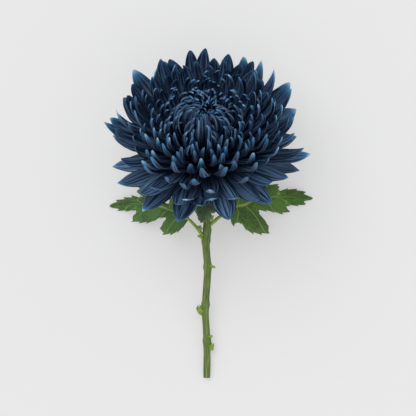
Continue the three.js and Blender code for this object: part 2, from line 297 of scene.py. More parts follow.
def leafMaterial(name, look):
    material, g, shader = newMaterial(name)
    along = attribute(g, "along")
    across = attribute(g, "across")
    face = attribute(g, "face")
    position = g.add("ShaderNodeTexCoord", output=3)
    cloud = noiseAt(g, position, 70.0, 4.0, 0.55)
    speckle = noiseAt(g, position, 900.0, 3.0, 0.6)
    net = g.add("ShaderNodeTexVoronoi", {"feature": "DISTANCE_TO_EDGE"}, {"Vector": position, "Scale": 420.0})
    reach = abs(across)
    # side veins leave the midrib towards each lobe, lower half first
    veins = g.ramp(reach, 0.075 + 0.05 * (1 - along), 0.02)
    for half, starts in ((-1, look["lowerVeins"]), (1, look["upperVeins"])):
        onHalf = g.ramp(across * half, 0.0, 0.03)
        for start in starts:
            apart = abs(along - start - 0.035 * reach - 0.02 * g.sin(reach * 5))
            vein = onHalf * g.ramp(apart, 0.011 - 0.006 * reach, 0.002) * (0.85 - 0.35 * reach)
            veins = g.most(veins, vein)
    underside = g.ramp(face * -1, -0.2, 0.2)
    blade = g.mixColor(g.ramp(cloud, 0.3, 0.7), rgb(look["dark"]), rgb(look["light"]))
    blade = g.mixColor(g.ramp(speckle, 0.5, 0.75) * 0.22, blade, rgb(look["light"]))
    blade = g.mixColor(g.ramp(net, 0.09, 0.0) * 0.22, blade, rgb(look["vein"]))
    blade = g.mixColor(g.ramp(along, 0.45, 0.0) * 0.35, blade, rgb(look["foot"]))
    blade = g.mixColor(g.ramp(reach, 0.8, 1.0) * 0.4, blade, rgb(look["rim"]))
    blade = g.mixColor(veins * 0.8, blade, rgb(look["vein"]))
    blade = g.mixColor(underside * 0.55, blade, rgb(look["back"]))
    g.fill(shader.inputs["Base Color"], blade)
    g.fill(shader.inputs["Roughness"], 0.46 + 0.2 * speckle)
    shader.inputs["Specular IOR Level"].default_value = 0.35
    height = cloud * 0.4 + speckle * 0.3 + g.ramp(net, 0.0, 0.2) * 0.5 - veins * 1.1
    g.fill(shader.inputs["Normal"], g.add("ShaderNodeBump", {}, {
        "Strength": 0.55, "Distance": 0.0004, "Height": height,
    }))
    return material


stemLook = {
    "dark": "#3a4b1f",
    "light": "#72873f",
    "pale": "#adbb84",
    "knot": "#5d7730",
    "cut": "#c9cfa6",
}


def stemMaterial(name, look):
    material, g, shader = newMaterial(name)
    along = attribute(g, "along")
    around = attribute(g, "around")
    knot = attribute(g, "knot")
    end = attribute(g, "end")
    position = g.add("ShaderNodeTexCoord", output=3)
    turn = around * (2 * math.pi)
    streakAt = g.xyz(g.cos(turn) * 1.6, along * 4.5, g.sin(turn) * 1.6)
    streaks = noiseAt(g, streakAt, 2.4, 4.0, 0.65)
    patches = noiseAt(g, g.xyz(g.cos(turn), along * 16, g.sin(turn)), 1.4, 3.0, 0.6)
    speckle = noiseAt(g, position, 1100.0, 3.0, 0.6)
    skin = g.mixColor(g.ramp(streaks, 0.34, 0.62), rgb(look["dark"]), rgb(look["light"]))
    skin = g.mixColor(g.ramp(streaks, 0.56, 0.7) * 0.6, skin, rgb(look["pale"]))
    skin = g.mixColor(g.ramp(patches, 0.45, 0.75) * 0.4, skin, rgb(look["dark"]))
    skin = g.mixColor(g.ramp(speckle, 0.55, 0.8) * 0.3, skin, rgb(look["dark"]))
    skin = g.mixColor(knot * 0.55, skin, rgb(look["knot"]))
    skin = g.mixColor(end, skin, rgb(look["cut"]))
    g.fill(shader.inputs["Base Color"], skin)
    g.fill(shader.inputs["Roughness"], 0.42 + 0.25 * streaks)
    shader.inputs["Specular IOR Level"].default_value = 0.4
    g.fill(shader.inputs["Normal"], g.add("ShaderNodeBump", {}, {
        "Strength": 0.6, "Distance": 0.0004, "Height": streaks + speckle * 0.4,
    }))
    return material


leafLooks = {
    "left": {
        "dark": "#28481f", "light": "#4a7230", "vein": "#8aa864", "foot": "#3f6a1c",
        "rim": "#6f8459", "back": "#8ca276",
        "lowerVeins": [0.17, 0.36, 0.6, 0.78], "upperVeins": [0.14, 0.3, 0.48, 0.72],
    },
    "right": {
        "dark": "#294b14", "light": "#4d7625", "vein": "#94ad5c", "foot": "#3f6a1a",
        "rim": "#6c815c", "back": "#8ca276",
        "lowerVeins": [0.13, 0.3, 0.56, 0.74], "upperVeins": [0.14, 0.32, 0.5, 0.72],
    },
    "upper": {
        "dark": "#35492f", "light": "#566f4c", "vein": "#7f946c", "foot": "#4a6238",
        "rim": "#6f8068", "back": "#7f9372",
        "lowerVeins": [0.3, 0.55], "upperVeins": [0.3, 0.55],
    },
}
petioleLook = {**stemLook, "dark": "#6a8a2c", "light": "#9db84a", "pale": "#c5d68a"}

floretSkin = floretMaterial()
leafSkins = {name: leafMaterial("leaf_" + name, look) for name, look in leafLooks.items()}
stemSkin = stemMaterial("stem", stemLook)
petioleSkin = stemMaterial("petiole", petioleLook)
print("materials made")


# florets: one node tree grows any run of them
# each list runs from the bloom's centre to its rim, in millimetres:
# distance from the bloom's axis and height along it, for the four handles of a floret's profile
profileStations = {
    "baseRadius": [0.8, 3, 5, 6.5, 7.6, 8.4, 9.1, 9.6, 9.8],
    "baseHeight": [6.8, 6.5, 5.7, 4.7, 3.6, 2.5, 1.1, -0.5, -2.6],
    "leanRadius": [1.4, 6.5, 11.5, 15.5, 20, 25, 30, 34, 34],
    "leanHeight": [18, 17, 15.5, 14, 13.5, 14, 12, 5, -6],
    "bowRadius": [2.2, 9, 18, 26.5, 33, 40.5, 51, 57.5, 55.5],
    "bowHeight": [27, 39, 44, 41.5, 34, 30, 25, 9, -10.5],
    "tipRadius": [1, 2.2, 5.5, 14, 28.5, 42.5, 57, 67.5, 65],
    "tipHeight": [31, 37.5, 42, 42, 40.5, 41, 38.5, 19, -12.3],
}
floretShape = {
    "width": [2.2, 3.0, 4.0, 4.9, 5.8, 7.6, 11.0, 13.8, 15.0],
    "footWidth": [1.4, 1.8, 2.2, 2.5, 2.8, 3.1, 3.4, 3.6, 3.8],
    # half the angle that its section bends through
    "curl": [1.5, 1.45, 1.4, 1.4, 1.45, 1.35, 1.05, 0.65, 0.4],
    # higher for a sharper tip
    "point": [0.5, 0.5, 0.5, 0.52, 0.6, 0.66, 0.72, 0.95, 1.35],
    # how far the tip bends in over the bloom, and round it
    "hook": [0.0, 0.6, 1.0, 1.4, 2.8, 4.6, 4.6, 2.6, 0.6],
    "spiral": [0.5, 1.2, 1.8, 1.2, 0.3, 0.0, 0.0, 0.0, 0.0],
    # florets at the back of the bloom open wider than those in front
    "frontBroad": 0.84,
    "upperBroad": 0.45,
    # degrees round the bloom where the outer tips took less dye, and how wide each patch is
    "paleSides": [-48, 37, 58, 84, -84],
    "paleCore": 5,
    "paleReach": 9,
    "ridge": 0.2,
    "thickness": 0.34,
}

floretInputs = {
    "Florets": ("NodeSocketInt", 1),
    "First": ("NodeSocketInt", 0),
    "Total": ("NodeSocketInt", 1),
    "Start place": ("NodeSocketFloat", 0.0),
    "End place": ("NodeSocketFloat", 1.0),
    "Crowding": ("NodeSocketFloat", 1.0),
    "Azimuth": ("NodeSocketFloat", 0.0),
    "Turn": ("NodeSocketFloat", goldenAngle),
    "Disorder": ("NodeSocketFloat", 1.2),
    "Stretch": ("NodeSocketFloat", 1.0),
    "Broad": ("NodeSocketFloat", 1.0),
    "Pale": ("NodeSocketFloat", 0.0),
    "Around": ("NodeSocketInt", 17),
    "Along": ("NodeSocketInt", 22),
    "Columns": ("NodeSocketInt", 1),
    "Seed": ("NodeSocketInt", 7),
    "Material": ("NodeSocketMaterial", None),
}


def newTree(name, inputs):
    tree = bpy.data.node_groups.new(name, "GeometryNodeTree")
    tree.is_modifier = True
    tree.interface.new_socket("Geometry", in_out="INPUT", socket_type="NodeSocketGeometry")
    tree.interface.new_socket("Geometry", in_out="OUTPUT", socket_type="NodeSocketGeometry")
    for label, (kind, default) in inputs.items():
        socket = tree.interface.new_socket(label, in_out="INPUT", socket_type=kind)
        if default is not None:
            socket.default_value = default
    entry = tree.nodes.new("NodeGroupInput")
    graph = Graph(tree)
    given = {socket.name: Value(graph, socket) for socket in entry.outputs if socket.name}
    return tree, graph, given


def store(g, geometry, name, value, domain="POINT", kind="FLOAT"):
    settings = {"data_type": kind, "domain": domain}
    inputs = {"Geometry": geometry, "Name": name, "Value": value}
    return g.add("GeometryNodeStoreNamedAttribute", settings, inputs)


def stored(g, name):
    return g.add("GeometryNodeInputNamedAttribute", {"data_type": "FLOAT"}, {"Name": name})


# a flat grid whose columns go round a section and whose rows go along it
def wrapGrid(g, columns, rows):
    return g.add("GeometryNodeMeshGrid", {}, {
        "Size X": 1.0, "Size Y": 1.0, "Vertices X": columns, "Vertices Y": rows,
    })


# moves the grid's points to their places, closes its seams and ends the tree
def finishTree(g, geometry, position, seam, material):
    geometry = g.add("GeometryNodeSetPosition", {}, {"Geometry": geometry, "Position": position})
    geometry = g.add("GeometryNodeMergeByDistance", {}, {"Geometry": geometry, "Distance": seam * mm})
    geometry = g.add("GeometryNodeSetShadeSmooth", {}, {"Geometry": geometry})
    geometry = g.add("GeometryNodeRealizeInstances", {}, {"Geometry": geometry})
    geometry = g.add("GeometryNodeSetMaterial", {}, {"Geometry": geometry, "Material": material})
    leave = g.tree.nodes.new("NodeGroupOutput")
    g.fill(leave.inputs[0], geometry)


def randomOf(g, low, high, identity, seed):
    inputs = {2: low, 3: high, "ID": identity, "Seed": seed}
    return g.add("FunctionNodeRandomValue", {"data_type": "FLOAT"}, inputs, output=1)


def floretTree():
    tree, g, given = newTree("florets", floretInputs)
    shape = floretShape

    # one point a floret, which carries what makes that floret its own
    points = g.add("GeometryNodePoints", {}, {"Count": given["Florets"]})
    index = g.add("GeometryNodeInputIndex")
    number = index + given["First"]
    seed = given["Seed"]
    mess = given["Disorder"]
    share = ((number + 0.5) / given["Total"]) ** given["Crowding"]
    place = given["Start place"] + share * (given["End place"] - given["Start place"])
    place = place + mess * randomOf(g, -0.022, 0.022, number, seed)
    azimuth = given["Azimuth"] + given["Turn"] * number + mess * randomOf(g, -0.08, 0.08, number, seed + 1)
    points = store(g, points, "place", place)
    points = store(g, points, "azimuth", azimuth)
    points = store(g, points, "shade", randomOf(g, 0.0, 1.0, number, seed + 2))
    stretch = given["Stretch"] * (1 + mess * randomOf(g, -0.08, 0.07, number, seed + 3))
    points = store(g, points, "stretch", stretch)
    points = store(g, points, "sway", mess * randomOf(g, -4.0, 4.0, number, seed + 4))
    points = store(g, points, "twist", mess * randomOf(g, -0.6, 0.6, number, seed + 5))
    points = store(g, points, "phase", randomOf(g, 0.0, 6.28, number, seed + 6))
    pale = given["Pale"] + randomOf(g, -0.35, 0.55, number, seed + 7)
    patchStart, patchEnd = (math.cos(math.radians(shape[key])) for key in ("paleReach", "paleCore"))
    for side in shape["paleSides"]:
        onSide = g.ramp(g.cos(azimuth - math.radians(side)), patchStart, patchEnd)
        pale = pale + onSide * g.ramp(place, 0.7, 0.76)
    points = store(g, points, "pale", g.clamp(pale))
    points = store(g, points, "cell", index)

    # a flat grid that wraps round the floret's section: inner face, far margin, outer face
    grid = wrapGrid(g, given["Around"], given["Along"])
    spot = g.add("GeometryNodeInputPosition")
    grid = store(g, grid, "wrap", g.part(spot, "X") + 0.5)
    grid = store(g, grid, "along", 1 - g.clamp(0.5 - g.part(spot, "Y")) ** 1.25)
    florets = g.add("GeometryNodeInstanceOnPoints", {}, {"Points": points, "Instance": grid})
    florets = g.add("GeometryNodeRealizeInstances", {}, {"Geometry": florets})

    wrap = stored(g, "wrap")
    along = stored(g, "along")
    place = stored(g, "place")
    across = 1 - abs(wrap * 4 - 2)
    side = g.sign(wrap - 0.5)
    level = g.clamp(place)
    rim = g.ramp(place, 0.8, 0.9)

    # profile in the plane of the bloom's axis
    radii, heights = [], []
    for handle in ("base", "lean", "bow", "tip"):
        radii.append(g.stations(level, profileStations[handle + "Radius"], -10, 80))
        heights.append(g.stations(level, profileStations[handle + "Height"], -40, 80))
    back = 1 - along
    weights = [back ** 3, 3 * back ** 2 * along, 3 * back * along ** 2, along ** 3]
    radius = sum(w * r for w, r in zip(weights, radii))
    height = sum(w * h for w, h in zip(weights, heights))
    slopes = [back ** 2, 2 * back * along, along ** 2]
    runR = sum(w * (b - a) for w, a, b in zip(slopes, radii, radii[1:]))
    runH = sum(w * (b - a) for w, a, b in zip(slopes, heights, heights[1:]))
    run = g.sqrt(runR * runR + runH * runH)
    outR = runH / run
    outH = -runR / run

    # width, pointed tip, bent section, ridges and wavy margins
    upper = g.ramp(g.cos(stored(g, "azimuth")), -0.3, 0.5) * g.ramp(place, 0.42, 0.6)
    opened = shape["frontBroad"] + (1 - shape["frontBroad"]) * rim + shape["upperBroad"] * upper
    full = g.stations(level, shape["width"], 0, 20) * given["Broad"] * opened
    foot = g.stations(level, shape["footWidth"], 0, 20)
    tipShare = g.clamp((along - 0.5) / 0.5)
    rounding = 0.08 + 0.92 * g.clamp(1 - tipShare ** 2.1) ** g.stations(level, shape["point"], 0, 2)
    half = 0.5 * g.blend(g.ramp(along, 0.02, 0.6), foot, full) * rounding
    middle = 1 - across * across
    bend = g.stations(level, shape["curl"], 0, 2) * (0.45 + 0.55 * g.ramp(along, 0.4, 1.0))
    flat = half * g.sin(bend * across) / bend
    hollow = half * (g.cos(bend * across) - g.cos(bend)) / bend
    ridge = shape["ridge"] * g.cos(across * 9.4) * middle * g.ramp(along, 0.1, 0.4) * g.ramp(back, 0.02, 0.2)
    wave = 0.4 * g.sin(along * 19 + stored(g, "phase")) * across ** 4 * g.ramp(along, 0.3, 0.7) * rounding
    closing = g.least(g.clamp(back * 14), g.clamp(along * 40 + 0.02))
    skin = side * 0.5 * shape["thickness"] * g.sqrt(g.clamp(middle)) * closing
    hook = -1 * g.stations(level, shape["hook"], 0, 20) * g.ramp(along, 0.66, 1.08)
    lift = hollow + ridge * full / 10 + wave + skin + hook
    nick = -0.6 * rim * g.ramp(along, 0.9, 1.0) * (0.5 - 0.5 * g.cos(across * 9.4))

    lean = stored(g, "twist") * along ** 2
    sideways = flat * g.cos(lean) - lift * g.sin(lean)
    lift = flat * g.sin(lean) + lift * g.cos(lean)
    spiral = g.stations(level, shape["spiral"], 0, 20) * along ** 3
    sideways = sideways + (stored(g, "sway") + spiral) * along ** 2

    stretch = stored(g, "stretch")
    grown = 1 + (stretch - 1) * along
    radius = radius * grown + outR * lift - outH * nick
    height = height * grown + outH * lift + outR * nick

    # turn it round the axis, then tilt the bloom and set it on its stem
    azimuth = stored(g, "azimuth")
    x = radius * g.sin(azimuth) + sideways * g.cos(azimuth)
    y = radius * g.cos(azimuth) - sideways * g.sin(azimuth)
    tiltCos, tiltSin = math.cos(bloomTilt), math.sin(bloomTilt)
    worldY = (y * tiltCos + height * tiltSin) * mm + bloomCentre.y
    worldZ = (height * tiltCos - y * tiltSin) * mm + bloomCentre.z
    worldZ = g.most(worldZ, 0.0002)
    spotNow = g.xyz(x * mm + bloomCentre.x, worldY, worldZ)

    florets = store(g, florets, "across", across)
    florets = store(g, florets, "spread", across * 0.5 * full)
    florets = store(g, florets, "face", side * middle)
    column = g.math("MODULO", stored(g, "cell"), given["Columns"])
    row = g.math("FLOOR", stored(g, "cell") / given["Columns"])
    cellU = (column + 0.04 + 0.92 * wrap) / given["Columns"]
    cellV = (row + 0.03 + 0.94 * along) / given["Columns"]
    florets = store(g, florets, "OFBake", g.xyz(cellU, cellV), "CORNER", "FLOAT2")
    finishTree(g, florets, spotNow, 0.004, given["Material"])
    return tree


def outwards(mesh):
    shell = bmesh.new()
    shell.from_mesh(mesh)
    bmesh.ops.recalc_face_normals(shell, faces=shell.faces)
    shell.to_mesh(mesh)
    shell.free()


def placePiece(name, mesh, replaced=()):
    piece = bpy.data.objects.new(name, mesh)
    scene.collection.objects.link(piece)
    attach(piece, "root")
    if replaced:
        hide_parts(*replaced)
    return piece


# runs a node tree on a bare start and keeps the mesh it makes
def grow(name, tree, start, settings, replaced=()):
    seedling = bpy.data.objects.new(name + "_start", start)
    scene.collection.objects.link(seedling)
    modifier = seedling.modifiers.new("grow", "NODES")
    modifier.node_group = tree
    for item in tree.interface.items_tree:
        if item.in_out == "INPUT" and item.name in settings:
            modifier[item.identifier] = settings[item.name]
    depsgraph = bpy.context.evaluated_depsgraph_get()
    mesh = bpy.data.meshes.new_from_object(seedling.evaluated_get(depsgraph))
    mesh.name = name
    bpy.data.objects.remove(seedling)
    outwards(mesh)
    return placePiece(name, mesh, replaced)


florets = floretTree()

innerBloom = {
    "total": 350,
    "endPlace": 0.83,
    "crowding": 0.76,
    # florets in each band from centre to rim, and how pale their tips are
    "bands": [12, 22, 34, 44, 54, 60, 62, 62],
    "pale": [0, 0, 0, 0, 0.05, 0.15, 0.2, 0.15],
}
first = 0
for band, count in enumerate(innerBloom["bands"]):
    grow(f"inner_florets_{band + 1}", florets, bpy.data.meshes.new("start"), {
        "Florets": count,
        "First": first,
        "Total": innerBloom["total"],
        "Start place": 0.01,
        "End place": innerBloom["endPlace"],
        "Crowding": innerBloom["crowding"],
        "Columns": math.ceil(math.sqrt(count)),
        "Pale": innerBloom["pale"][band],
        "Seed": 11,
        "Material": floretSkin,
    }, [f"floret_whorl_{band + 1}"])
    first += count
print("inner florets grown:", first)

rimBloom = {
    "whorls": {"a": 0.88, "b": 0.945, "c": 1.0},
    "count": 13,
    "pale": 0.2,
    # florets that stand out of line: degrees round the bloom, length, width, paleness of the tip
    "apart": {
        "a8": (0, 1.0, 1.0, 0.5),
        "a12": (0, 1.0, 1.05, 0.4),
        "b4": (11, 1.07, 1.0, 1.0),
        "b5": (0, 0.96, 1.0, 0.3),
        "b7": (2, 0.74, 1.1, 0.5),
        "b8": (3, 0.86, 1.1, 0.4),
        "b9": (0, 0.97, 1.0, 0.6),
        "b10": (-17, 1.05, 1.35, 1.0),
        "c5": (7, 0.93, 1.05, 0.3),
        "c6": (9, 0.92, 1.15, 0.5),
        "c7": (5, 0.7, 1.2, 0.9),
        "c8": (-11, 0.94, 1.15, 0.4),
        "c9": (-14, 0.99, 1.1, 0.7),
    },
}
random.seed(5)
for step, (letter, level) in enumerate(rimBloom["whorls"].items()):
    for i in range(rimBloom["count"]):
        node = f"guard_floret_{letter}{i + 1}"
        usual = (0, random.uniform(0.95, 1.05), random.uniform(0.92, 1.1), rimBloom["pale"])
        turn, stretch, broad, pale = rimBloom["apart"].get(f"{letter}{i + 1}", usual)
        grow(node + "_look", florets, bpy.data.meshes.new("start"), {
            "Florets": 1,
            "First": step * rimBloom["count"] + i,
            "Total": rimBloom["count"] * len(rimBloom["whorls"]),
            "Start place": level,
            "End place": level,
            "Azimuth": (i + step / 3 - 1 / 6) / rimBloom["count"] * 2 * math.pi + math.radians(turn),
            "Turn": 0.0,
            "Disorder": 0.5,
            "Stretch": stretch,
            "Broad": broad,
            "Pale": pale,
            "Around": 25,
            "Along": 34,
            "Seed": 23,
            "Material": floretSkin,
        }, [node])
print("rim florets grown")


# stem, petioles and stubs: a ribbed tube along a route

tubeInputs = {
    "Radius": ("NodeSocketFloat", 2.9),
    "Taper": ("NodeSocketFloat", 0.12),
    "Flare": ("NodeSocketFloat", 0.0),
    "Ribs": ("NodeSocketFloat", 6.0),
    "Rib depth": ("NodeSocketFloat", 0.07),
    "Lumps": ("NodeSocketFloat", 0.05),
    "Swelling": ("NodeSocketFloat", 0.0),
    "Node 1": ("NodeSocketFloat", -1.0),
    "Node 2": ("NodeSocketFloat", -1.0),
    "Node 3": ("NodeSocketFloat", -1.0),
    "Node 4": ("NodeSocketFloat", -1.0),
    "Node 5": ("NodeSocketFloat", -1.0),
    "Cut end": ("NodeSocketFloat", 0.0),
    "Around": ("NodeSocketInt", 49),
    "Along": ("NodeSocketInt", 60),
    "Seed": ("NodeSocketFloat", 1.0),
    "Material": ("NodeSocketMaterial", None),
}


def tubeTree():
    tree, g, given = newTree("tube", tubeInputs)
    route = g.add("GeometryNodeMeshToCurve", {}, {"Mesh": given["Geometry"]})
    route = g.add("GeometryNodeCurveSplineType", {"spline_type": "CATMULL_ROM"}, {"Curve": route})
    route = g.add("GeometryNodeResampleCurve", {}, {"Curve": route, "Count": 200})
    grid = wrapGrid(g, given["Around"], given["Along"])
    spot = g.add("GeometryNodeInputPosition")
    grid = store(g, grid, "around", g.part(spot, "X") + 0.5)
    grid = store(g, grid, "along", g.part(spot, "Y") + 0.5)
    around = stored(g, "around")
    along = stored(g, "along")

    # the first and last rows close the ends
    capRows = 4 / given["Along"]
    ends = g.clamp(g.least(along, 1 - along) / capRows)
    share = g.clamp((along - capRows) / (1 - 2 * capRows))
    knot = 0.0
    for i in range(1, 6):
        gap = (share - given[f"Node {i}"]) / 0.016
        knot = knot + 2.718 ** (-1 * gap * gap)
    sampler = g.tree.nodes.new("GeometryNodeSampleCurve")
    sampler.mode = "FACTOR"
    sampler.use_all_curves = True
    g.fill(sampler.inputs["Curves"], route)
    g.fill(sampler.inputs["Factor"], share)
    centre = Value(g, sampler.outputs["Position"])
    tangent = Value(g, sampler.outputs["Tangent"])
    normal = Value(g, sampler.outputs["Normal"])
    binormal = g.vector("CROSS_PRODUCT", tangent, normal)

    turn = around * (2 * math.pi)
    circle = g.xyz(g.cos(turn) * 1.4, share * 9 + given["Seed"] * 3.7, g.sin(turn) * 1.4)
    lumps = noiseAt(g, circle, 1.6, 2.0, 0.5) - 0.5
    ribs = g.cos(turn * given["Ribs"] + 0.9 * g.sin(share * 13 + given["Seed"]))
    size = given["Radius"] * (1 - given["Taper"] * share) * (1 + given["Flare"] * share ** 6)
    size = size * (1 + given["Rib depth"] * ribs + given["Lumps"] * lumps * 4)
    size = (size + given["Swelling"] * knot) * g.sqrt(ends) * mm
    ring = g.vector("ADD", g.scaled(normal, g.cos(turn) * size), g.scaled(binormal, g.sin(turn) * size))

    tube = store(g, grid, "knot", g.clamp(knot))
    tube = store(g, tube, "end", given["Cut end"] * g.ramp(along, 1 - capRows * 1.1, 1 - capRows * 0.7))
    tube = store(g, tube, "OFBake", g.xyz(around, along), "CORNER", "FLOAT2")
    finishTree(g, tube, g.vector("ADD", centre, ring), 0.004, given["Material"])
    return tree


# points given in millimetres from the ground below the bloom's centre
def onFlower(x, y, z):
    return Vector((bloomCentre.x + x * mm, bloomCentre.y + y * mm, cadLow.z + z * mm))


def routeMesh(points):
    mesh = bpy.data.meshes.new("route")
    mesh.from_pydata([onFlower(*p) for p in points], [(i, i + 1) for i in range(len(points) - 1)], [])
    return mesh


tubes = tubeTree()
# the routes are drawn for a bloom centre this far above the surface, so they rise by what is left over
drawnHeight = 52
rise = (bloomCentre.z - cadLow.z) / mm - drawnHeight

stemSettings = {
    "route": [
        (0, -8.1, 43), (0, -12.7, 37.9), (0.6, -25, 32.6), (1.2, -40, 28.4), (1.4, -57, 23.6),
        (0.6, -65, 21.2), (1.8, -81, 16.8), (1.4, -93, 13.8), (0.2, -111, 9.7), (0.9, -125, 6.8),
        (1.4, -137, 4.6), (1.3, -159.6, 2.6),
    ],
    "nodes": [0.328, 0.377, 0.499, 0.671, 0.837],
    "radius": 2.6,
    "swelling": 0.6,
}


def lifted(points):
    return [(x, y, z + rise) for x, y, z in points]


grow("stem_skin", tubes, routeMesh(lifted(stemSettings["route"])), {
    "Radius": stemSettings["radius"],
    "Swelling": stemSettings["swelling"],
    **{f"Node {i + 1}": share for i, share in enumerate(stemSettings["nodes"])},
    "Rib depth": 0.055,
    "Lumps": 0.05,
    "Cut end": 1.0,
    "Around": 73,
    "Along": 260,
    "Material": stemSkin,
}, ["stem"])

petioles = {
    "petiole_left": {
        "route": [(-1.2, -59.5, 22.6), (-3, -57.6, 24), (-5.5, -54.3, 25), (-8.6, -50.8, 25.8),
                  (-11.5, -48, 25.6), (-14, -47, 25.0)],
        "radius": 1.25, "stands": "leaf_left",
    },
    "petiole_right": {
        "route": [(3.2, -52.4, 24.6), (5.2, -50.6, 25.8), (9.5, -47, 27.5), (14, -43.8, 28.6),
                  (18.5, -41, 28.2), (20.5, -40, 27.6)],
        "radius": 1.25, "stands": "leaf_right",
    },
    "petiole_upper": {
        "route": [(0.5, -21.5, 37.6), (0.5, -24, 37.6), (0.5, -27, 36.9), (0.5, -31, 37.6)],
        "radius": 1.0, "stands": "leaf_upper",
    },
}
for name, stalk in petioles.items():
    grow(name, tubes, routeMesh(lifted(stalk["route"])), {
        "Radius": stalk["radius"],
        "Taper": 0.3,
        "Ribs": 4.0,
        "Rib depth": 0.08,
        "Around": 33,
        "Along": 60,
        "Seed": len(name) * 1.3,
        "Material": petioleSkin,
    }, [stalk["stands"]])

# short stubs where leaves were stripped from the stem
stubs = {
    "stub_upper_left": [(-1.6, -61.5, 22.6), (-3.6, -60.2, 23.4), (-5.2, -59.6, 23.6)],
    "stub_upper_right": [(3.4, -80.6, 18.0), (5.4, -81.2, 18.6), (7.2, -81.8, 19.0)],
    "stub_lower_left": [(-1.4, -112.4, 10.2), (-3.4, -112.0, 10.8), (-4.6, -112.4, 11.0)],
    "stub_lower_right": [(3.0, -130.6, 6.2), (4.4, -130.4, 6.8), (5.2, -130.9, 7.0)],
    "stub_foot_right": [(3.2, -139.2, 4.8), (4.8, -139.4, 5.4), (6.0, -139.8, 5.6)],
}
for name, route in stubs.items():
    grow(name, tubes, routeMesh(lifted(route)), {
        "Radius": 1.15,
        "Taper": 0.35,
        "Ribs": 3.0,
        "Rib depth": 0.1,
        "Lumps": 0.1,
        "Cut end": 0.7,
        "Around": 25,
        "Along": 24,
        "Seed": len(name) * 2.1,
        "Material": petioleSkin,
    }, ["stem"])
print("stem, petioles and stubs grown")


# leaves

# rows run from the petiole to the tip, in millimetres from the ground below the bloom's centre:
# midrib x, y, then the margin nearer the stem's foot, then the margin nearer the bloom
leafRows = {
    "left": [
        (-11.5, -48, -12.3, -49.6, -11.2, -46.4),
        (-14, -47, -16.6, -55, -12.5, -42),
        (-15.5, -46.4, -22, -58.2, -14.5, -37),
        (-17.2, -45.6, -29, -58.4, -19, -33.5),
        (-19.5, -44.4, -31, -53.6, -24.5, -33),
        (-22.5, -42.8, -27.8, -47.6, -26, -37),
        (-25.5, -41.4, -32, -47.4, -30, -35),
        (-28, -40.2, -37, -50, -34, -28.5),
        (-30.5, -39.4, -43, -50.6, -40, -25.5),
        (-33, -38.8, -48.5, -50, -46, -26),
        (-35.5, -38.3, -51.6, -48.3, -48, -28.8),
        (-39, -37.8, -48.6, -42.2, -43.5, -32.4),
        (-45, -37.4, -54, -42.4, -50, -31.8),
        (-51, -37.2, -60, -42, -56, -33),
        (-57, -37.4, -63, -40.6, -61, -34.6),
        (-62, -38, -65.2, -40, -64.6, -36.6),
        (-67, -39, -67.4, -39.4, -67.4, -38.8),
    ],
    "right": [
        (18.5, -41, 17.4, -42.6, 17.6, -39.6),
        (20, -40.2, 17.8, -49.4, 18, -34),
        (21.4, -39.6, 20.2, -52.2, 20.5, -29),
        (23, -39, 24.5, -50.6, 24.5, -26.2),
        (25, -38.4, 30.3, -56.6, 28.5, -26.6),
        (26.7, -37.8, 38.4, -58.4, 31, -28.6),
        (28.3, -37.2, 44.8, -57.2, 32, -30.8),
        (30, -36.6, 43.4, -50.6, 33.6, -30.2),
        (33, -35.6, 37.6, -43.2, 36.6, -25.6),
        (35.5, -34.8, 43.5, -42.4, 40.5, -23),
        (38, -34, 49, -43.4, 44.5, -23.2),
        (40.5, -33.4, 54, -44.2, 49, -23.4),
        (43, -33, 59, -42.4, 52.8, -24.8),
        (46.5, -32.7, 57.6, -39, 51.4, -27.6),
        (53, -32.5, 63, -38.6, 60, -26.6),
        (60, -32.4, 69.2, -38, 68, -28),
        (66, -32.6, 71, -35.6, 71, -30.4),
        (71, -33, 73.6, -34.6, 73.6, -32),
        (75.6, -33.4, 76, -33.8, 76, -33),
    ],
    "upper": [
        (0.5, -29, 1.7, -29, -0.8, -29),
        (0.5, -32, 3.6, -32.5, -2.6, -32.5),
        (0.4, -35, 6, -38, -5, -38),
        (0.2, -37.5, 7.6, -42.6, -7, -42.8),
        (-0.2, -40.5, 4.4, -44.6, -5.6, -44.8),
        (-0.8, -44, 3.8, -47.2, -5.2, -47.4),
        (-1.8, -47.6, 0.4, -49.4, -3.8, -49.2),
        (-2.8, -50.4, -2.5, -50.7, -3.1, -50.7),
    ],
}


# height of a blade that starts high and droops sideways until its tip rests on the surface
def droop(start, end, high, low):
    def height(x, y):
        share = np.clip((x - start) / (end - start), -0.1, 1)
        return low + (high - low) * (1 - share) ** 1.4
    return height


# the upper leaf is arched along its length
def archedBlade(x, y):
    return 49 - 0.036 * (y + 47.5) ** 2


leafSettings = {
    "left": {
        "height": droop(-11.5, -66, 25.5, 0.75),
        "toothStep": 5.2, "tooth": 1.9, "arch": 0.9, "wave": 0.5,
    },
    "right": {
        "height": droop(18.5, 75, 28, 0.75),
        "toothStep": 5.6, "tooth": 1.9, "arch": 0.9, "wave": 0.5,
    },
    "upper": {
        "height": archedBlade,
        "toothStep": 3.4, "tooth": 0.8, "arch": 0.6, "wave": 0.25,
    },
}
leafThickness = 0.5


# points of a smooth line through the given ones, evenly many between each pair
def smoothThrough(points, steps):
    points = np.asarray(points, float)
    padded = np.vstack([2 * points[0] - points[1], points, 2 * points[-1] - points[-2]])
    t = np.linspace(0, 1, steps, endpoint=False)[:, None]
    spans = []
    for a, b, c, d in zip(padded, padded[1:], padded[2:], padded[3:]):
        spans.append(0.5 * (2 * b + (c - a) * t + (2 * a - 5 * b + 4 * c - d) * t ** 2
                            + (3 * b - a - 3 * c + d) * t ** 3))
    return np.vstack(spans + [points[-1:]])


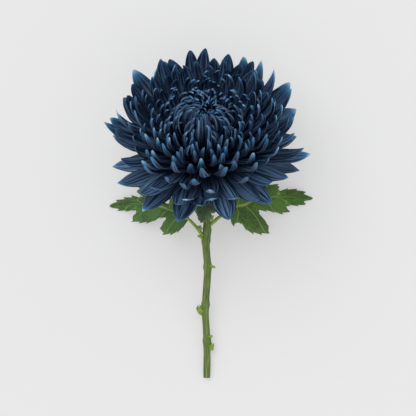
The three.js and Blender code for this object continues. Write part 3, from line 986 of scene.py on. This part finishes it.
def marginTeeth(margin, midrib, step, depth):
    # teeth lean towards the leaf's tip and fade at both ends
    travel = np.r_[0, np.cumsum(np.linalg.norm(np.diff(margin, axis=0), axis=1))]
    phase = (travel / step) % 1
    tooth = phase ** 1.6 - 0.45
    fade = np.clip(np.minimum(travel, travel[-1] - travel) / step, 0, 1)
    outward = margin - midrib
    outward /= np.maximum(np.linalg.norm(outward, axis=1, keepdims=True), 1e-6)
    return margin + outward * (depth * tooth * fade)[:, None]


def leafMesh(name, rows, settings):
    steps = 14
    rows = smoothThrough(rows, steps)
    midrib, lower, upper = rows[:, 0:2], rows[:, 2:4], rows[:, 4:6]
    lower = marginTeeth(lower, midrib, settings["toothStep"], settings["tooth"])
    upper = marginTeeth(upper, midrib, settings["toothStep"] * 1.1, settings["tooth"])
    count = len(rows)
    along = np.linspace(0, 1, count)
    half = 14
    top = np.linspace(-1, 1, 2 * half + 1)
    across = np.r_[top, top[-2:0:-1]]
    face = np.r_[np.ones(len(top)), -np.ones(len(top) - 2)]
    face[[0, len(top) - 1]] = 0
    reach = np.abs(across)[None, :, None]
    margin = np.where((across < 0)[None, :, None], lower[:, None, :], upper[:, None, :])
    plan = midrib[:, None, :] + (margin - midrib[:, None, :]) * reach
    x, y = plan[..., 0], plan[..., 1]
    r = np.abs(across)[None, :]
    size = np.linalg.norm(margin - midrib[:, None, :], axis=2)
    arch = settings["arch"] * np.sin(np.pi * np.clip(r, 0, 1)) * np.clip(size / 8, 0.2, 1.2)
    ripple = np.sin(along[:, None] * 31 + across[None, :] * 2)
    wave = settings["wave"] * ripple * r ** 2 * np.clip(size / 8, 0, 1)
    groove = -0.35 * np.exp(-(r / 0.06) ** 2)
    endsClose = np.clip(np.minimum(along, 1 - along)[:, None] * 40, 0.05, 1)
    closing = np.sqrt(np.clip(1 - r ** 6, 0, 1)) * endsClose
    z = settings["height"](x, y) + rise + arch + wave + groove
    z = np.maximum(z + face[None, :] * closing * leafThickness / 2, 0.1)
    ring = len(across)
    corners = [onFlower(*p) for p in np.stack([x, y, z], 2).reshape(-1, 3)]
    faces = []
    for i in range(count - 1):
        for j in range(ring):
            k = (j + 1) % ring
            faces.append((i * ring + j, i * ring + k, (i + 1) * ring + k, (i + 1) * ring + j))
    faces.append(tuple(range(ring)))
    faces.append(tuple(range((count - 1) * ring, count * ring)))
    mesh = bpy.data.meshes.new(name)
    mesh.from_pydata(corners, [], faces)
    for label, values in (
        ("along", np.repeat(along, ring)),
        ("across", np.tile(across, count)),
        ("face", np.tile(face, count)),
    ):
        mesh.attributes.new(label, "FLOAT", "POINT").data.foreach_set("value", values.astype(np.float32))
    # one chart a side for the baked maps
    bake = mesh.uv_layers.new(name="OFBake")
    for polygon in mesh.polygons:
        sides = [mesh.loops[i].vertex_index for i in polygon.loop_indices]
        under = sum(v % ring >= len(top) - 1 or v % ring == 0 for v in sides) > 2
        for loop, v in zip(polygon.loop_indices, sides):
            row, column = divmod(v, ring)
            u = (across[column] * 0.47 + 0.5) / 2 + (0.5 if under else 0)
            bake.data[loop].uv = (u, 0.02 + 0.96 * along[row])
    mesh.shade_smooth()
    mesh.materials.append(leafSkins[name.split("_")[1]])
    outwards(mesh)
    return mesh


for side in ("left", "right", "upper"):
    blade = leafMesh(f"blade_{side}", leafRows[side], leafSettings[side])
    placePiece(blade.name, blade, [f"leaf_{side}"])
print("leaves made")


# buds: overlapping scales round a small egg

budInputs = {
    "Scales": ("NodeSocketInt", 9),
    "Length": ("NodeSocketFloat", 4.0),
    "Radius": ("NodeSocketFloat", 1.2),
    "Centre": ("NodeSocketVector", (0.0, 0.0, 0.0)),
    "Lean": ("NodeSocketFloat", 0.0),
    "Seed": ("NodeSocketInt", 3),
    "Material": ("NodeSocketMaterial", None),
}


def budTree():
    tree, g, given = newTree("bud", budInputs)
    points = g.add("GeometryNodePoints", {}, {"Count": given["Scales"]})
    index = g.add("GeometryNodeInputIndex")
    points = store(g, points, "level", index / given["Scales"])
    points = store(g, points, "azimuth", index * goldenAngle)
    points = store(g, points, "size", randomOf(g, 0.85, 1.1, index, given["Seed"]))
    grid = wrapGrid(g, 17, 12)
    spot = g.add("GeometryNodeInputPosition")
    grid = store(g, grid, "around", g.part(spot, "X") + 0.5)
    grid = store(g, grid, "along", g.part(spot, "Y") + 0.5)
    scales = g.add("GeometryNodeInstanceOnPoints", {}, {"Points": points, "Instance": grid})
    scales = g.add("GeometryNodeRealizeInstances", {}, {"Geometry": scales})
    around = stored(g, "around")
    along = stored(g, "along")
    level = stored(g, "level")
    across = 1 - abs(around * 4 - 2)
    side = g.sign(around - 0.5)
    middle = g.clamp(1 - across * across)
    # inner scales reach the top, outer ones only part of the way
    reach = (1.15 + 1.9 * level) * stored(g, "size")
    polar = 0.1 + reach * along
    wide = (1.15 - 0.35 * level) * g.sqrt(g.clamp(1.02 - along ** 2))
    azimuth = stored(g, "azimuth") + across * wide
    shell = 1.12 - 0.22 * level + 0.05 * side * g.sqrt(middle) * g.clamp(along * (1 - along) * 12)
    shell = shell + 0.14 * along ** 4 * (1 - level)
    out = g.sin(polar) * given["Radius"] * shell
    up = -1 * g.cos(polar) * given["Length"] * 0.5 * shell
    x = out * g.cos(azimuth)
    lift = out * g.sin(azimuth)
    tiltSin, tiltCos = g.sin(given["Lean"]), g.cos(given["Lean"])
    spotNow = g.vector("ADD", given["Centre"], g.xyz(
        (x * tiltCos - up * tiltSin) * mm, (x * tiltSin + up * tiltCos) * mm, lift * mm))
    buds = store(g, scales, "knot", 0.35 + 0.5 * level)
    buds = store(g, buds, "end", g.ramp(along, 0.85, 1.0) * 0.35)
    finishTree(g, buds, spotNow, 0.002, given["Material"])
    return tree


budStep = budTree()
budShapes = {
    # aside moves a bud against its stem
    "bud_left_axil": {"length": 4.4, "radius": 1.35, "lean": 20, "aside": 0.6},
    "bud_right_axil": {"length": 4.4, "radius": 1.4, "lean": -15, "aside": -0.8},
    "bud_lower_left": {"length": 7.6, "radius": 1.9, "lean": 20, "aside": 1.7},
    "bud_foot_right": {"length": 5.2, "radius": 1.6, "lean": -16, "aside": -1.9},
}
for name, shape in budShapes.items():
    low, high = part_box(name)
    centre = (Vector(low) + Vector(high)) / 2 + Vector((shape["aside"] * mm, 0, 0))
    grow(name + "_look", budStep, bpy.data.meshes.new("start"), {
        "Length": shape["length"],
        "Radius": shape["radius"],
        "Centre": centre,
        "Lean": math.radians(shape["lean"]),
        "Seed": len(name),
        "Material": petioleSkin,
    }, [name])
print("buds grown")


# receptacle and its bracts

receptacleShape = {
    "radius": [0.4, 3.2, 4.4, 5.8, 8.0, 9.2, 9.0, 8.2, 6.4, 3.6, 0.2],
    "height": [-11.6, -11.5, -10.2, -8.6, -6.4, -4.2, -1.6, 1.0, 3.2, 5.0, 5.6],
    "bracts": 44,
    "bractLength": 9.5,
    "bractWidth": 4.2,
}
cupInputs = {
    "Bracts": ("NodeSocketInt", 44),
    "Length": ("NodeSocketFloat", 9.0),
    "Width": ("NodeSocketFloat", 4.0),
    "Seed": ("NodeSocketInt", 4),
    "Material": ("NodeSocketMaterial", None),
}


# stands a radius, height and azimuth on the tilted bloom's axis
def onBloom(g, radius, height, azimuth):
    y = radius * g.cos(azimuth)
    tiltCos, tiltSin = math.cos(bloomTilt), math.sin(bloomTilt)
    return g.xyz(
        radius * g.sin(azimuth) * mm + bloomCentre.x,
        (y * tiltCos + height * tiltSin) * mm + bloomCentre.y,
        (height * tiltCos - y * tiltSin) * mm + bloomCentre.z)


def cupTree():
    tree, g, given = newTree("receptacle", {"Material": cupInputs["Material"]})
    grid = wrapGrid(g, 65, 48)
    spot = g.add("GeometryNodeInputPosition")
    grid = store(g, grid, "around", g.part(spot, "X") + 0.5)
    grid = store(g, grid, "along", g.part(spot, "Y") + 0.5)
    around, along = stored(g, "around"), stored(g, "along")
    turn = around * (2 * math.pi)
    closing = g.sqrt(g.clamp(g.least(along, 1 - along) * 30))
    radius = g.stations(along, receptacleShape["radius"], 0, 20) * closing
    radius = radius * (1 + 0.025 * g.cos(turn * 14) * g.ramp(along, 0.1, 0.3))
    height = g.stations(along, receptacleShape["height"], -20, 20)
    cup = store(g, grid, "knot", 0.5 * g.ramp(along, 0.2, 0.5))
    cup = store(g, cup, "end", 0.0)
    cup = store(g, cup, "OFBake", g.xyz(around, along), "CORNER", "FLOAT2")
    finishTree(g, cup, onBloom(g, radius, height, turn), 0.004, given["Material"])
    return tree


def bractTree():
    tree, g, given = newTree("bracts", cupInputs)
    points = g.add("GeometryNodePoints", {}, {"Count": given["Bracts"]})
    index = g.add("GeometryNodeInputIndex")
    points = store(g, points, "level", index / given["Bracts"])
    points = store(g, points, "azimuth", index * goldenAngle)
    points = store(g, points, "size", randomOf(g, 0.85, 1.15, index, given["Seed"]))
    grid = wrapGrid(g, 17, 16)
    spot = g.add("GeometryNodeInputPosition")
    grid = store(g, grid, "around", g.part(spot, "X") + 0.5)
    grid = store(g, grid, "along", g.part(spot, "Y") + 0.5)
    bracts = g.add("GeometryNodeInstanceOnPoints", {}, {"Points": points, "Instance": grid})
    bracts = g.add("GeometryNodeRealizeInstances", {}, {"Geometry": bracts})
    around, along, level = stored(g, "around"), stored(g, "along"), stored(g, "level")
    across = 1 - abs(around * 4 - 2)
    middle = g.clamp(1 - across * across)
    side = g.sign(around - 0.5)
    # outer bracts start low on the cup and are shorter
    length = given["Length"] * stored(g, "size") * (0.75 + 0.45 * level)
    startR = 4.6 + 3.6 * level
    startH = -9.8 + 4.4 * level
    steep = 0.85 - 0.6 * level
    reach = along * length
    closing = g.least(g.clamp(along * 20), g.clamp((1 - along) * 12))
    skin = side * 0.2 * g.sqrt(middle) * closing
    radius = startR + reach * g.cos(steep * (1 - along * 0.4)) + 0.1
    height = startH + reach * g.sin(steep * (1 - along * 0.4)) * 0.62 - 0.5 * middle * closing - skin
    half = 0.5 * given["Width"] * g.sqrt(g.clamp(along * 4 + 0.3)) * g.clamp(1.02 - along ** 2.2) ** 0.7
    azimuth = stored(g, "azimuth") + across * g.least(half / 1.0, 2.6) / radius
    bracts = store(g, bracts, "knot", 0.2 + 0.5 * level)
    bracts = store(g, bracts, "end", g.ramp(along, 0.8, 1.0) * 0.5)
    finishTree(g, bracts, onBloom(g, radius, height, azimuth), 0.002, given["Material"])
    return tree


grow("receptacle_cup", cupTree(), bpy.data.meshes.new("start"), {
    "Material": stemSkin,
}, ["receptacle"])
grow("receptacle_bracts", bractTree(), bpy.data.meshes.new("start"), {
    "Bracts": receptacleShape["bracts"],
    "Length": receptacleShape["bractLength"],
    "Width": receptacleShape["bractWidth"],
    "Material": petioleSkin,
}, ["receptacle"])
print("receptacle grown")


# floor and light

studio = {
    "floorReach": 8.0,
    "floor": 0.42,
    "floorGlow": 0.37,
    "sky": 0.76,
    "sun": 1.15,
    "sunFrom": (-0.45, 0.75, 1.5),
    "sunAngle": 50,
}

floorMesh = bpy.data.meshes.new("floor")
reach = studio["floorReach"]
floorMesh.from_pydata(
    [(-reach, -reach, 0), (reach, -reach, 0), (reach, reach, 0), (-reach, reach, 0)],
    [], [(0, 1, 2, 3)])
floor = bpy.data.objects.new("floor", floorMesh)
scene.collection.objects.link(floor)
floorMaterial, floorGraph, floorShader = newMaterial("floor")
floorShader.inputs["Base Color"].default_value = (studio["floor"],) * 3 + (1,)
floorShader.inputs["Roughness"].default_value = 0.9
floorShader.inputs["Specular IOR Level"].default_value = 0.0
floorShader.inputs["Emission Color"].default_value = (1, 1, 1, 1)
floorShader.inputs["Emission Strength"].default_value = studio["floorGlow"]
floorMesh.materials.append(floorMaterial)

world = bpy.data.worlds.new("studio")
world.use_nodes = True
world.node_tree.nodes["Background"].inputs["Color"].default_value = (1, 1, 1, 1)
world.node_tree.nodes["Background"].inputs["Strength"].default_value = studio["sky"]
scene.world = world

sunData = bpy.data.lights.new("sun", "SUN")
sunData.energy = studio["sun"]
sunData.angle = math.radians(studio["sunAngle"])
sun = bpy.data.objects.new("sun", sunData)
sun.rotation_euler = Vector(studio["sunFrom"]).to_track_quat("Z", "Y").to_euler()
scene.collection.objects.link(sun)
scene.view_settings.view_transform = "Standard"
print("floor and light set")

print("pieces finished")
